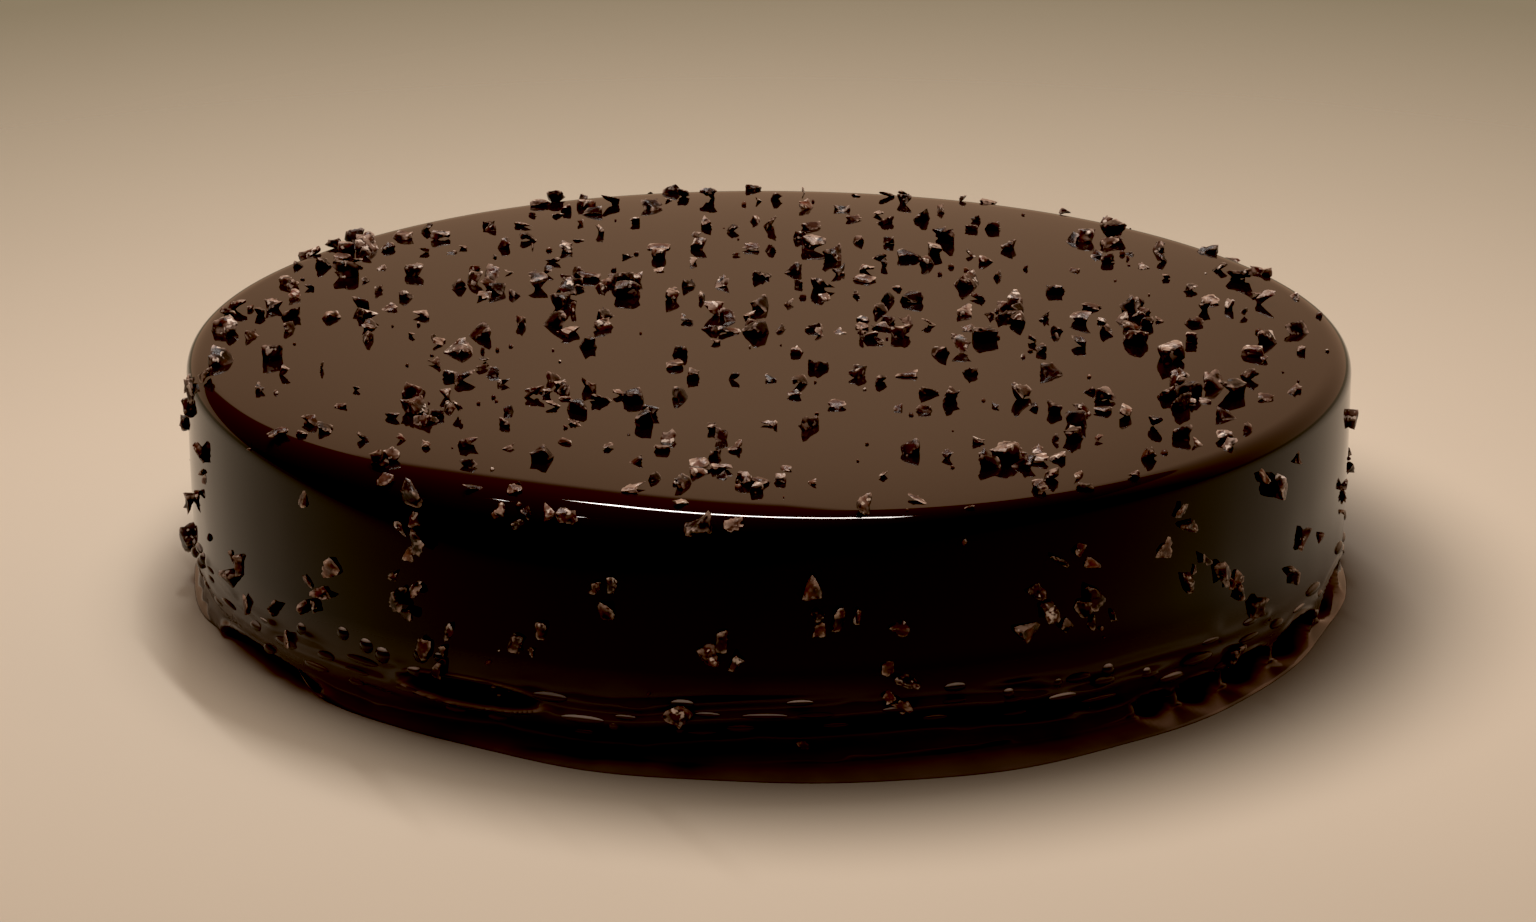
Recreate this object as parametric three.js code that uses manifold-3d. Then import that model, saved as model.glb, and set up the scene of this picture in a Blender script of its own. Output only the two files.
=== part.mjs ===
// Chocolate entremet: a low round mousse cake under a dark mirror glaze, strewn with cacao nibs.
// Millimetres, +Z up. The origin is the centre of the flat underside, and -Y is the front.
// The cake is one solid: the glazed body, with the largest nibs fused to it where they lie.
import * as THREE from "three";
import { ConvexGeometry } from "three/addons/geometries/ConvexGeometry.js";
import { mergeVertices } from "three/addons/utils/BufferGeometryUtils.js";
import Module from "manifold-3d";

// ---- Driving dimensions ----

const DEGREE = Math.PI / 180;

// The cake as it came out of its ring, 24 cm wide and 5 cm high.
const RADIUS = 120;
const HEIGHT = 50;
const WIDEST_AT = 34; // height of the widest place of the wall
const DRAWN_IN = 1.1; // how much narrower the wall is at the underside

// The glaze rounds the top edge, and more where it slumped:
// [middle in degrees, half width in degrees, how much larger the edge is].
const EDGE = { size: 3.8, softness: 0.8 };
const SLUMPS = [
  [-112, 27, 8.5],
  [80, 72, 6.2],
];
// The top is this much higher in the middle, and falls off mostly near the edge.
const CROWN = { height: 0.9, fall: 6 };

// Slow waves of the wall round the cake: [waves per turn, height of a wave, phase].
const WALL_WAVES = [
  [2, 0.45, 0.9],
  [3, 0.3, 2.2],
  [7, 0.12, 0.4],
];

// Near the underside the glaze gathered in a rolled lip, with a fainter ripple above it in places
// and an undercut below it. All three are strong in two stretches and faint between them:
// [middle in degrees, half width in degrees].
const LIP = { height: 8.2, half: 1.6, stand: 1.0 };
const LIP_WAVES = [
  [1, 2.4, 2.97],
  [4, 0.9, 0.6],
  [9, 0.5, 2.0],
  [17, 0.3, 4.4],
];
const RIPPLE = { above: 3.3, half: 1.2, stand: 0.6, perTurn: 7, phase: 1.2 };
const UNDERCUT = { below: 5.2, half: 2.6, depth: 2.4 };
const GATHERED = [
  [-98, 46],
  [98, 34],
];
const FAINT = 0.22; // share of the relief that is left between the stretches

// The cake stands in a thin set pool of glaze that ran out further in places and fell short in others:
// [angle in degrees, half width in degrees, how far it ran].
const FOOT = { height: 1.5, blunt: 0.35, spread: 1.5, slope: 0.6 };
const FOOT_WAVES = [
  [5, 0.3, 0.8],
  [11, 0.35, 2.9],
  [19, 0.25, 5.1],
];
const POOLS = [
  [-70, 38, 5.0],
  [118, 30, 3.0],
  [-148, 9, -8.0],
  [-125, 12, -2.0],
];

// Arched hollows where the glaze bridged a gap at the underside and sank in, angles in degrees.
const HOLLOWS = [
  { angle: -147, height: 1.4, halfTurn: 10, halfHeight: 3.8, depth: 8.0 },
  { angle: -118.5, height: 11, halfTurn: 7.5, halfHeight: 2.7, depth: 5.0 },
  { angle: -51, height: 3.2, halfTurn: 2.4, halfHeight: 2.5, depth: 4.0 },
  { angle: -45, height: 3.4, halfTurn: 2.8, halfHeight: 3.0, depth: 5.0 },
  { angle: -37.5, height: 3.8, halfTurn: 3.8, halfHeight: 3.6, depth: 6.5 },
  { angle: -28, height: 4.2, halfTurn: 5.0, halfHeight: 4.2, depth: 7.5 },
  { angle: -14.5, height: 5.2, halfTurn: 7.0, halfHeight: 5.4, depth: 9.0 },
  { angle: 40, height: 3.8, halfTurn: 5.0, halfHeight: 3.8, depth: 6.0 },
  { angle: 50, height: 3.4, halfTurn: 3.6, halfHeight: 3.0, depth: 5.0 },
  { angle: 131, height: 9.0, halfTurn: 6.0, halfHeight: 2.6, depth: 4.6 },
  { angle: 168, height: 3.6, halfTurn: 4.4, halfHeight: 3.6, depth: 6.0 },
];
const HOLLOW_WALLS = 0.4; // below 1, the smaller the steeper the sides of a hollow

// Cacao nibs, from large to small. The number fused here is the largest of those that lie there.
const NIB = { largest: 7.4, smallest: 3.1, fallOff: 1.15, corners: 8, boxiness: 0.4 };
const NIB_KINDS = [
  { share: 0.56, width: 0.84, depth: 0.74, tip: 0.7 }, // chunk
  { share: 0.28, width: 0.52, depth: 0.44, tip: 1.0 }, // shard
  { share: 0.16, width: 0.8, depth: 0.3, tip: 0.5 }, // flake
];
const SUNK = { top: 0.28, wall: 0.34 }; // how much of a nib's depth lies in the glaze
const TOP_NIBS = { count: 440, fused: 195, reach: 117, clumped: 0.3, size: 1.0, seed: 4021 };
const WALL_NIBS = { count: 130, fused: 76, low: 4, high: 49, clumped: 0.78, size: 1.0, seed: 977 };
const WALL_LEAN = 0.3; // nibs on the wall lie more or less upright, with this share of a free turn
const NEAREST = { alone: 0.95, clumped: 0.66 }; // gap between two nibs, as a share of their sizes
const TRIES = 60;

// Where nibs fell in clumps. On the top: x, y and spread.
const TOP_CLUMPS = [
  [79, 62, 11],
  [-46, 98, 10],
  [-56, 32, 9],
  [-92, 62, 9],
  [-36, 34, 6],
  [-9, 2, 9],
  [-38, -46, 12],
  [-3, -90, 9],
  [-68, -56, 9],
  [24, -2, 8],
  [51, 12, 8],
  [76, 6, 10],
  [88, -40, 10],
  [64, -60, 8],
  [48, -84, 6],
  [-110, 8, 8],
];

// On the wall: angle in degrees, height and spread.
const WALL_CLUMPS = [
  [-167, 46, 4],
  [-175, 38, 7],
  [-160, 35, 3],
  [-151, 16, 4],
  [-143, 11, 5],
  [-137, 20, 5],
  [-124, 40, 3],
  [-124, 28, 4],
  [-122, 18, 3],
  [-112, 47, 3],
  [-110, 24, 5],
  [-105, 37, 4],
  [-94, 26, 3],
  [-84, 30, 5],
  [-77, 30, 4],
  [-78, 17, 3],
  [-65, 28, 5],
  [-60, 39, 5],
  [-59, 25, 4],
  [-50, 39, 5],
  [-47, 31, 5],
  [-42, 24, 4],
  [-36, 40, 5],
  [-29, 21, 4],
  [-14, 24, 3],
  [-9, 36, 7],
  [-3, 22, 6],
  [5, 32, 8],
  [22, 34, 8],
  [48, 22, 8],
  [75, 38, 9],
  [98, 24, 9],
  [124, 36, 9],
  [150, 20, 8],
  [172, 30, 7],
];

// ---- Resolution of the faceted solid ----

const TURN_STEPS = 144;
const EDGE_STEPS = 6;
const TOP_RINGS = [0.93, 0.84, 0.7, 0.45];
const WALL_LEVELS = [0, 0.4, 0.9, 1.5, 2.5, 3.6, 4.8, 6, 7.2, 8.4, 9.6, 10.8, 12, 13.5, 15.5, 19, 29, 39];
const FACET_TOLERANCE = 0.2;
const NIB_TOLERANCE = 0.03;

// ---- The glazed body ----

function waves(angle, list) {
  let sum = 0;
  for (const [perTurn, height, phase] of list) sum += height * Math.sin(perTurn * angle + phase);
  return sum;
}

function bell(offset) {
  return Math.exp(-offset * offset);
}

// The smallest turn from one angle to another, signed.
function turnBetween(from, to) {
  return Math.atan2(Math.sin(to - from), Math.cos(to - from));
}

function gathered(angle) {
  let share = FAINT;
  for (const [degrees, halfTurn] of GATHERED) {
    share += (1 - FAINT) * bell(turnBetween(degrees * DEGREE, angle) / (halfTurn * DEGREE));
  }
  return share;
}

function lipRelief(angle, z) {
  const lipAt = LIP.height + waves(angle, LIP_WAVES);
  const rippleShare = 0.5 + 0.5 * Math.sin(RIPPLE.perTurn * angle + RIPPLE.phase);
  const lip = LIP.stand * bell((z - lipAt) / LIP.half);
  const ripple = RIPPLE.stand * rippleShare * bell((z - lipAt - RIPPLE.above) / RIPPLE.half);
  const undercut = UNDERCUT.depth * bell((z - lipAt + UNDERCUT.below) / UNDERCUT.half);
  return (lip + ripple - undercut) * gathered(angle);
}

function footSpread(angle) {
  let spread = FOOT.spread + waves(angle, FOOT_WAVES);
  for (const [degrees, halfTurn, run] of POOLS) {
    spread += run * bell(turnBetween(degrees * DEGREE, angle) / (halfTurn * DEGREE));
  }
  return spread;
}

// The pool has a blunt rim and thins towards it from the wall.
function footRadius(angle, z, wall) {
  const rise = Math.max(0, (z - FOOT.blunt) / (FOOT.height - FOOT.blunt));
  const share = 1 - Math.min(1, rise) ** FOOT.slope;
  return wall + (RADIUS - DRAWN_IN + footSpread(angle) - wall) * share;
}

function hollowDepth(angle, z) {
  let depth = 0;
  for (const hollow of HOLLOWS) {
    const along = turnBetween(hollow.angle * DEGREE, angle) / (hollow.halfTurn * DEGREE);
    const across = (z - hollow.height) / hollow.halfHeight;
    const inside = 1 - along * along - across * across;
    if (inside > 0) depth = Math.max(depth, hollow.depth * inside ** HOLLOW_WALLS);
  }
  return depth;
}

function wallRadius(angle, z) {
  const below = Math.max(0, (WIDEST_AT - z) / WIDEST_AT);
  const plain = RADIUS - DRAWN_IN * below * below + waves(angle, WALL_WAVES);
  const wall = plain + lipRelief(angle, z) - hollowDepth(angle, z);
  return footRadius(angle, z, wall);
}

function edgeSize(angle) {
  let size = EDGE.size;
  for (const [degrees, halfTurn, more] of SLUMPS) {
    size += more * bell(turnBetween(degrees * DEGREE, angle) / (halfTurn * DEGREE));
  }
  return size;
}

// Height of the top over its rim. The share is the distance from the centre over that of the rim.
function crown(share) {
  return CROWN.height * (1 - share ** CROWN.fall);
}

// A point of the rounded edge, from the wall (turn 0) to the rim of the top (turn 90 degrees).
function edgePoint(angle, turn) {
  const size = edgeSize(angle);
  const flat = wallRadius(angle, HEIGHT - size) - size;
  const r = flat + size * Math.max(0, Math.cos(turn)) ** EDGE.softness;
  const up = Math.max(0, Math.sin(turn)) ** EDGE.softness;
  return [r, HEIGHT - size + (size + crown(r / flat)) * up];
}

// The half section at one angle, from the centre of the underside to the centre of the top.
function sectionAt(angle) {
  const points = [[0, 0]];
  for (const z of WALL_LEVELS) points.push([wallRadius(angle, z), z]);
  for (let step = 0; step <= EDGE_STEPS; step += 1) {
    points.push(edgePoint(angle, (step / EDGE_STEPS) * 90 * DEGREE));
  }
  const [flat] = edgePoint(angle, 90 * DEGREE);
  for (const share of TOP_RINGS) points.push([flat * share, HEIGHT + crown(share)]);
  points.push([0, HEIGHT + CROWN.height]);
  return points;
}

function bodyGeometry() {
  const outline = sectionAt(0).map(([r, z]) => new THREE.Vector2(r, z));
  const geometry = new THREE.LatheGeometry(outline, TURN_STEPS);
  const position = geometry.getAttribute("position");
  for (let step = 0; step <= TURN_STEPS; step += 1) {
    const angle = ((step % TURN_STEPS) / TURN_STEPS) * 360 * DEGREE;
    sectionAt(angle).forEach(([r, z], row) => {
      position.setXYZ(step * outline.length + row, r * Math.cos(angle), r * Math.sin(angle), z);
    });
  }
  return geometry;
}

// ---- Cacao nibs ----

// Draws between 0 and 1 that are the same on every run.
function drawsFrom(seed) {
  let state = seed;
  return () => {
    state = (state * 16807) % 2147483647;
    return state / 2147483647;
  };
}

// Three draws summed make a hump-shaped spread about zero, from -1.5 to 1.5.
function hump(draw) {
  return draw() + draw() + draw() - 1.5;
}

function nibLength(index, zone) {
  const left = 1 - index / (zone.count - 1);
  return zone.size * (NIB.smallest + (NIB.largest - NIB.smallest) * left ** NIB.fallOff);
}

function nibKind(draw) {
  let left = draw();
  for (const kind of NIB_KINDS) {
    left -= kind.share;
    if (left < 0) return kind;
  }
  return NIB_KINDS[0];
}

// A place on the top, as flat coordinates. The clumps take turns.
function topPlace(draw, clumped, index) {
  if (clumped) {
    const [x, y, spread] = TOP_CLUMPS[index % TOP_CLUMPS.length];
    return [x + spread * hump(draw), y + spread * hump(draw)];
  }
  const reach = TOP_NIBS.reach * Math.sqrt(draw());
  const angle = 360 * DEGREE * draw();
  return [reach * Math.cos(angle), reach * Math.sin(angle)];
}

// A place on the wall, as distance round the wall and height.
function wallPlace(draw, clumped, index) {
  if (clumped) {
    const [degrees, z, spread] = WALL_CLUMPS[index % WALL_CLUMPS.length];
    return [RADIUS * degrees * DEGREE + spread * hump(draw), z + spread * hump(draw)];
  }
  const round = RADIUS * 360 * DEGREE * (draw() - 0.5);
  return [round, WALL_NIBS.low + (WALL_NIBS.high - WALL_NIBS.low) * draw()];
}

function onTop([x, y]) {
  return Math.hypot(x, y) < TOP_NIBS.reach;
}

function onWall([round, z]) {
  const inHollow = hollowDepth(round / RADIUS, z) > 0;
  return z > WALL_NIBS.low && z < WALL_NIBS.high && !inHollow;
}

function isFree(place, length, taken, share) {
  return taken.every((other) => {
    const gap = Math.hypot(place[0] - other.place[0], place[1] - other.place[1]);
    return gap > share * 0.5 * (length + other.length);
  });
}

// Nibs of one zone, the largest first, each at the first free place that the draws give.
function layNibs(zone, placeFor, isOn) {
  const draw = drawsFrom(zone.seed);
  const nibs = [];
  for (let index = 0; index < zone.count; index += 1) {
    const length = nibLength(index, zone);
    const kind = nibKind(draw);
    const clumped = draw() < zone.clumped;
    const share = clumped ? NEAREST.clumped : NEAREST.alone;
    const yaw = 360 * DEGREE * draw();
    const tip = kind.tip * (draw() - 0.5);
    const seed = 1 + Math.floor(draw() * 2147483645);
    for (let attempt = 0; attempt < TRIES; attempt += 1) {
      const place = placeFor(draw, clumped, index);
      if (isOn(place) && isFree(place, length, nibs, share)) {
        nibs.push({ place, length, kind, yaw, tip, seed });
        break;
      }
    }
  }
  return nibs;
}

// An angular broken piece: the hull of a few drawn corners of a box.
function nibGeometry(nib) {
  const draw = drawsFrom(nib.seed);
  const halves = [0.5, 0.5 * nib.kind.width, 0.5 * nib.kind.depth];
  const corners = [];
  for (let corner = 0; corner < NIB.corners; corner += 1) {
    const point = halves.map((half) => {
      const side = 2 * draw() - 1;
      return nib.length * half * Math.sign(side) * Math.abs(side) ** NIB.boxiness;
    });
    corners.push(new THREE.Vector3(...point));
  }
  return new ConvexGeometry(corners);
}

// A seat is a point of the glazed surface and its outward direction, which is turned up from the
// wall's by the given angle.
function seatFrom(angle, [r, z], turn) {
  const side = Math.cos(turn);
  const out = [side * Math.cos(angle), side * Math.sin(angle), Math.sin(turn)];
  return { point: [r * Math.cos(angle), r * Math.sin(angle), z], out };
}

function topSeat([x, y]) {
  const angle = Math.atan2(y, x);
  const reach = Math.hypot(x, y);
  const [flat] = edgePoint(angle, 90 * DEGREE);
  if (reach <= flat) {
    const share = reach / flat;
    const slope = (CROWN.height * CROWN.fall * share ** (CROWN.fall - 1)) / flat;
    return seatFrom(angle, [reach, HEIGHT + crown(share)], 90 * DEGREE - Math.atan(slope));
  }
  const turn = Math.acos(Math.min(1, (reach - flat) / edgeSize(angle)) ** (1 / EDGE.softness));
  return seatFrom(angle, edgePoint(angle, turn), turn);
}

function wallSeat([round, z]) {
  const angle = round / RADIUS;
  const size = edgeSize(angle);
  const rise = z - (HEIGHT - size);
  if (rise <= 0) return seatFrom(angle, [wallRadius(angle, z), z], 0);
  const turn = Math.asin(Math.min(1, rise / size) ** (1 / EDGE.softness));
  return seatFrom(angle, edgePoint(angle, turn), turn);
}

function seatedNib(nib, seat, yaw, sunk) {
  const geometry = nibGeometry(nib);
  const upright = new THREE.Vector3(0, 0, 1);
  const out = new THREE.Vector3(...seat.out);
  geometry.rotateX(nib.tip);
  geometry.rotateZ(yaw);
  geometry.computeBoundingBox();
  const { min, max } = geometry.boundingBox;
  const lift = -min.z - sunk * (max.z - min.z);
  geometry.applyQuaternion(new THREE.Quaternion().setFromUnitVectors(upright, out));
  const at = new THREE.Vector3(...seat.point).addScaledVector(out, lift);
  return geometry.translate(at.x, at.y, at.z);
}

// Turned like this, a nib's length runs down the wall.
function wallYaw(nib) {
  return nib.place[0] / RADIUS + WALL_LEAN * (nib.yaw - Math.PI);
}

function fusedNibs() {
  const top = layNibs(TOP_NIBS, topPlace, onTop).slice(0, TOP_NIBS.fused);
  const wall = layNibs(WALL_NIBS, wallPlace, onWall).slice(0, WALL_NIBS.fused);
  return [
    ...top.map((nib) => seatedNib(nib, topSeat(nib.place), nib.yaw, SUNK.top)),
    ...wall.map((nib) => seatedNib(nib, wallSeat(nib.place), wallYaw(nib), SUNK.wall)),
  ];
}

// ---- Joining ----

const wasm = await Module();
wasm.setup();

function solidOf(geometry) {
  geometry.deleteAttribute("normal");
  geometry.deleteAttribute("uv");
  const merged = mergeVertices(geometry, 1e-4);
  const vertProperties = merged.getAttribute("position").array;
  const triVerts = new Uint32Array(merged.index.array);
  return new wasm.Manifold(new wasm.Mesh({ numProp: 3, vertProperties, triVerts }));
}

function geometryOf(solid) {
  const mesh = solid.getMesh();
  const position = new THREE.BufferAttribute(new Float32Array(mesh.vertProperties), 3);
  const geometry = new THREE.BufferGeometry().setAttribute("position", position);
  geometry.setIndex(new THREE.BufferAttribute(new Uint32Array(mesh.triVerts), 1));
  geometry.computeVertexNormals();
  return geometry;
}

// The largest body of a solid, without any nib that only just misses the faceted glaze.
function largestBody(solid) {
  const bodies = solid.decompose();
  return bodies.reduce((largest, body) => (body.volume() > largest.volume() ? body : largest));
}

const body = solidOf(bodyGeometry()).simplify(FACET_TOLERANCE);
const fused = fusedNibs().reduce((solid, nib) => solid.add(solidOf(nib)), body);
const joined = largestBody(fused.simplify(NIB_TOLERANCE));

const glaze = new THREE.MeshStandardMaterial({ color: 0x1a0b07, roughness: 0.08, metalness: 0 });
const entremet = new THREE.Mesh(geometryOf(joined), glaze);
entremet.name = "entremet";

const cake = new THREE.Group();
cake.add(entremet);

export default cake;
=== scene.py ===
# Chocolate entremet: the mirror glaze and the cacao nibs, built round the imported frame.
# Shapes are worked out in millimetres, as in the CAD, and become metres where a mesh is made.
import itertools
import math

import bmesh
import bpy
import numpy as np
from mathutils import Matrix, Vector


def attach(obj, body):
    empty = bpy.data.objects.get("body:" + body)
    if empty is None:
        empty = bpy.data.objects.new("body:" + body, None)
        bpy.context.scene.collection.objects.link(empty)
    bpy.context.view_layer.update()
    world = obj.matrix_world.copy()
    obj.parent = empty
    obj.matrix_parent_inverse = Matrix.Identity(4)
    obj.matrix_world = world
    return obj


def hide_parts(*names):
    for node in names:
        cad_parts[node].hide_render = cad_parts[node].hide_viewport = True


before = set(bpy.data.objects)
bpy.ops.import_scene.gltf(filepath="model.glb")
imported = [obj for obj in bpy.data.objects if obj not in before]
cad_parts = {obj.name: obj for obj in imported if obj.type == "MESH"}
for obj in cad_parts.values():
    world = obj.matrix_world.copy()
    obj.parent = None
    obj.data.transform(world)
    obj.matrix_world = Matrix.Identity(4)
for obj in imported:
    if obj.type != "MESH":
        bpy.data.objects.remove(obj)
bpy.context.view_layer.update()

MM = 0.001
DEGREE = math.pi / 180

# ---- Driving dimensions of the cake, in millimetres ----

RADIUS = 120
HEIGHT = 50
WIDEST_AT = 34
DRAWN_IN = 1.1
EDGE_SIZE, EDGE_SOFTNESS = 3.8, 0.8
# Where the edge slumped: (middle in degrees, half width in degrees, how much larger the edge is).
SLUMPS = ((-112, 27, 8.5), (80, 72, 6.2))
CROWN_HEIGHT, CROWN_FALL = 0.9, 6  # the top is a little higher in the middle

# Slow waves round the cake: (waves per turn, height of a wave, phase).
WALL_WAVES = ((2, 0.45, 0.9), (3, 0.3, 2.2), (7, 0.12, 0.4))

# The rolled lip near the underside, the ripple above it and the undercut below it.
LIP_HEIGHT, LIP_HALF, LIP_STAND = 8.2, 1.6, 1.0
LIP_WAVES = ((1, 2.4, 2.97), (4, 0.9, 0.6), (9, 0.5, 2.0), (17, 0.3, 4.4))
RIPPLE_ABOVE, RIPPLE_HALF, RIPPLE_STAND = 3.3, 1.2, 0.6
RIPPLES_PER_TURN, RIPPLE_PHASE = 7, 1.2
UNDERCUT_BELOW, UNDERCUT_HALF, UNDERCUT_DEPTH = 5.2, 2.6, 2.4
# These are strong in two stretches, given as middle and half width in degrees, and faint between them.
GATHERED = ((-98, 46), (98, 34))
FAINT = 0.22

# The thin set pool round the foot: (angle in degrees, half width in degrees, how far it ran).
FOOT_HEIGHT, FOOT_BLUNT, FOOT_SPREAD, FOOT_SLOPE = 1.5, 0.35, 1.5, 0.6
FOOT_WAVES = ((5, 0.3, 0.8), (11, 0.35, 2.9), (19, 0.25, 5.1))
POOLS = ((-70, 38, 5.0), (118, 30, 3.0), (-148, 9, -8.0), (-125, 12, -2.0))

# Arched hollows at the underside: (angle in degrees, height, half turn in degrees, half height, depth).
HOLLOWS = (
    (-147, 1.4, 10, 3.8, 8.0),
    (-118.5, 11, 7.5, 2.7, 5.0),
    (-51, 3.2, 2.4, 2.5, 4.0),
    (-45, 3.4, 2.8, 3.0, 5.0),
    (-37.5, 3.8, 3.8, 3.6, 6.5),
    (-28, 4.2, 5.0, 4.2, 7.5),
    (-14.5, 5.2, 7.0, 5.4, 9.0),
    (40, 3.8, 5.0, 3.8, 6.0),
    (50, 3.4, 3.6, 3.0, 5.0),
    (131, 9.0, 6.0, 2.6, 4.6),
    (168, 3.6, 4.4, 3.6, 6.0),
)
HOLLOW_WALLS = 0.4  # the smaller, the steeper their sides

# ---- Finer relief that only the render has ----

# Small rolls of glaze that set along the lip. Rows: (how many in a turn, height above the lip).
ROLL_ROWS = ((64, 0.7), (30, 3.6), (44, -2.6))
ROLL_TURN = (0.9 * DEGREE, 2.1 * DEGREE)  # half length of a roll along the wall
ROLL_SIZES = (0.4, 1.05)
ROLL_SHIFT = 0.35  # how far a roll may lie from its even place in the row, in steps of the row
ROLL_SCATTER = 0.8  # and how far above or below the row
ROLL_SUNK, LUMP_SUNK = 0.02, 0.45  # share of its size by which a roll's middle lies inside the wall
ROLL_PAINTED_HIGHLIGHT, LUMP_PAINTED_HIGHLIGHT = (-0.5, 1.0), 1.0  # how strong the painted highlight on their crests is; at 0 and below none
ROLL_SEED = 1812
# Crumbs that lie under the glaze as round lumps: (angle in degrees, height, size).
LUMPS_UNDER = (
    (-139, 14, 1.5), (-133, 16.5, 1.5), (-130, 15.5, 1.7), (-128, 14.5, 1.9), (-123.5, 16.5, 1.7),
    (-121.5, 17, 1.1), (-117, 10.6, 0.7), (-115.2, 11, 0.6), (-116.2, 9.6, 0.6), (-104, 8.5, 1.0),
    (-98, 8, 0.9), (-67.5, 12.5, 1.2), (-62.5, 13, 1.2), (-57, 13.5, 1.4), (-52.5, 11, 1.1),
    (40, 12, 1.6), (66, 15, 1.4), (101, 13, 1.7), (139, 12, 1.5), (160, 15, 1.3), (-163, 13, 1.4),
)
LUMP_WIDTH = 1.15  # how much wider than high a lump is

# Shallow dents and swellings all over the lowest part of the wall.
DENTS = 240
DENT_TURN = (0.7 * DEGREE, 2.2 * DEGREE)
DENT_HALF = (0.7, 2.0)
DENT_STAND = (-0.4, 0.45)
DENT_HEIGHTS = (1.5, 15)
DENT_SEED = 5150

# The raised rim round a hollow, and how far inside the hollow its painted shade is whole.
RIM_STAND, RIM_WIDTH, RIM_FADES = 0.5, 0.32, 0.6
# Faint drips down the whole wall: (waves per turn, height of a wave, phase).
DRIP_WAVES = ((23, 0.05, 1.1), (37, 0.035, 4.0), (59, 0.018, 2.2))
DRIP_EVEN, DRIP_VARIES = 0.6, 0.4  # their mean strength, and how much it changes
DRIP_REACH, DRIP_WANDERS = 11, 4  # over what height it changes, and how unevenly round the cake

# How finely the glaze and its rolls are cut up.
TURN_STEPS = 720
FOOT_TOP, FOOT_ROWS = 2, 11
LIP_TOP, LIP_ROWS = 16, 58
WALL_ROWS = 20
EDGE_STEPS = 20
TOP_RINGS, TOP_CROWDING = 14, 0.6  # below 1 crowds the rings towards the rim
ROLL_STEPS, ROLL_SIDES = 22, 16

# ---- Cacao nibs, in millimetres ----

NIB_LARGEST, NIB_SMALLEST, NIB_FALL_OFF = 7.4, 3.1, 1.15
NIB_CORNERS, NIB_BOXINESS = 8, 0.4  # the smaller, the nearer its corners are to those of a box
# Kinds: (name, share of the nibs, width and depth as shares of the length, how far it tips).
NIB_KINDS = (
    ("chunk", 0.56, 0.84, 0.74, 0.7),
    ("shard", 0.28, 0.52, 0.44, 1.0),
    ("flake", 0.16, 0.8, 0.3, 0.5),
)
SUNK_TOP, SUNK_WALL = 0.28, 0.34  # the share of its height by which a nib is sunk in the glaze
TOP = {"count": 440, "reach": 117, "clumped": 0.3, "seed": 4021}
WALL = {"count": 130, "low": 4, "high": 49, "clumped": 0.78, "seed": 977}
WALL_LEAN = 0.3
NEAREST_ALONE, NEAREST_CLUMPED = 0.95, 0.66  # how near two nibs may lie, as a share of their length
TRIES = 60  # places tried for each nib
DRAW_FACTOR, DRAW_RANGE = 16807, 2147483647  # of the random numbers that lay the nibs

# Where nibs fell in clumps. On the top: x, y and spread. On the wall: angle in degrees, height, spread.
TOP_CLUMPS = (
    (79, 62, 11), (-46, 98, 10), (-56, 32, 9), (-92, 62, 9), (-36, 34, 6), (-9, 2, 9),
    (-38, -46, 12), (-3, -90, 9), (-68, -56, 9), (24, -2, 8), (51, 12, 8), (76, 6, 10),
    (88, -40, 10), (64, -60, 8), (48, -84, 6), (-110, 8, 8),
)
WALL_CLUMPS = (
    (-167, 46, 4), (-175, 38, 7), (-160, 35, 3), (-151, 16, 4), (-143, 11, 5), (-137, 20, 5),
    (-124, 40, 3), (-124, 28, 4), (-122, 18, 3), (-112, 47, 3), (-110, 24, 5), (-105, 37, 4),
    (-94, 26, 3), (-84, 30, 5), (-77, 30, 4), (-78, 17, 3), (-65, 28, 5), (-60, 39, 5),
    (-59, 25, 4), (-50, 39, 5), (-47, 31, 5), (-42, 24, 4), (-36, 40, 5), (-29, 21, 4),
    (-14, 24, 3), (-9, 36, 7), (-3, 22, 6), (5, 32, 8), (22, 34, 8), (48, 22, 8), (75, 38, 9),
    (98, 24, 9), (124, 36, 9), (150, 20, 8), (172, 30, 7),
)

# How a nib is broken, as shares of how far its plain shape reaches.
FORKED = 0.5  # this share of the nibs is two shards that grew together
FORK_CORNERS = 5  # each shard has this many of the nib's corners
WAIST_REACH, PLAIN_REACH = (0.55, 0.8), 0.95
BITES, BITE_DEPTH = (1, 4), (0.1, 0.38)
BITE_EDGE = 0.72  # the cosine of the angle from the middle of a bite to its edge
SKIN_DEPTH = 0.07
CORNER_REACH = 0.97
NIB_ROUNDING = 0.3  # how far each point moves towards its neighbours
RIDGE_GAIN = 5  # how soon a point that stands out counts as a ridge
NIB_SHARP = 32 * DEGREE

CRUMBS = {"top": 90, "wall": 26, "seed": 733}
CRUMB_LENGTHS, CRUMB_SIDES = (0.6, 2.2), (0.4, 1)  # each side is a share of the length
CRUMB_SKIN = 0.35
CRUMB_STANDS = 0.3  # the share of its lower half that stands out of the glaze
NIB_DETAIL, CRUMB_DETAIL = 3, 2  # subdivisions of the sphere that each starts from
TINY, PARALLEL = 1e-6, 1e-9  # a length and a slope that count as none

# ---- Colours and surfaces. Heights are in metres, slopes are how far a face looks up ----

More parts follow.
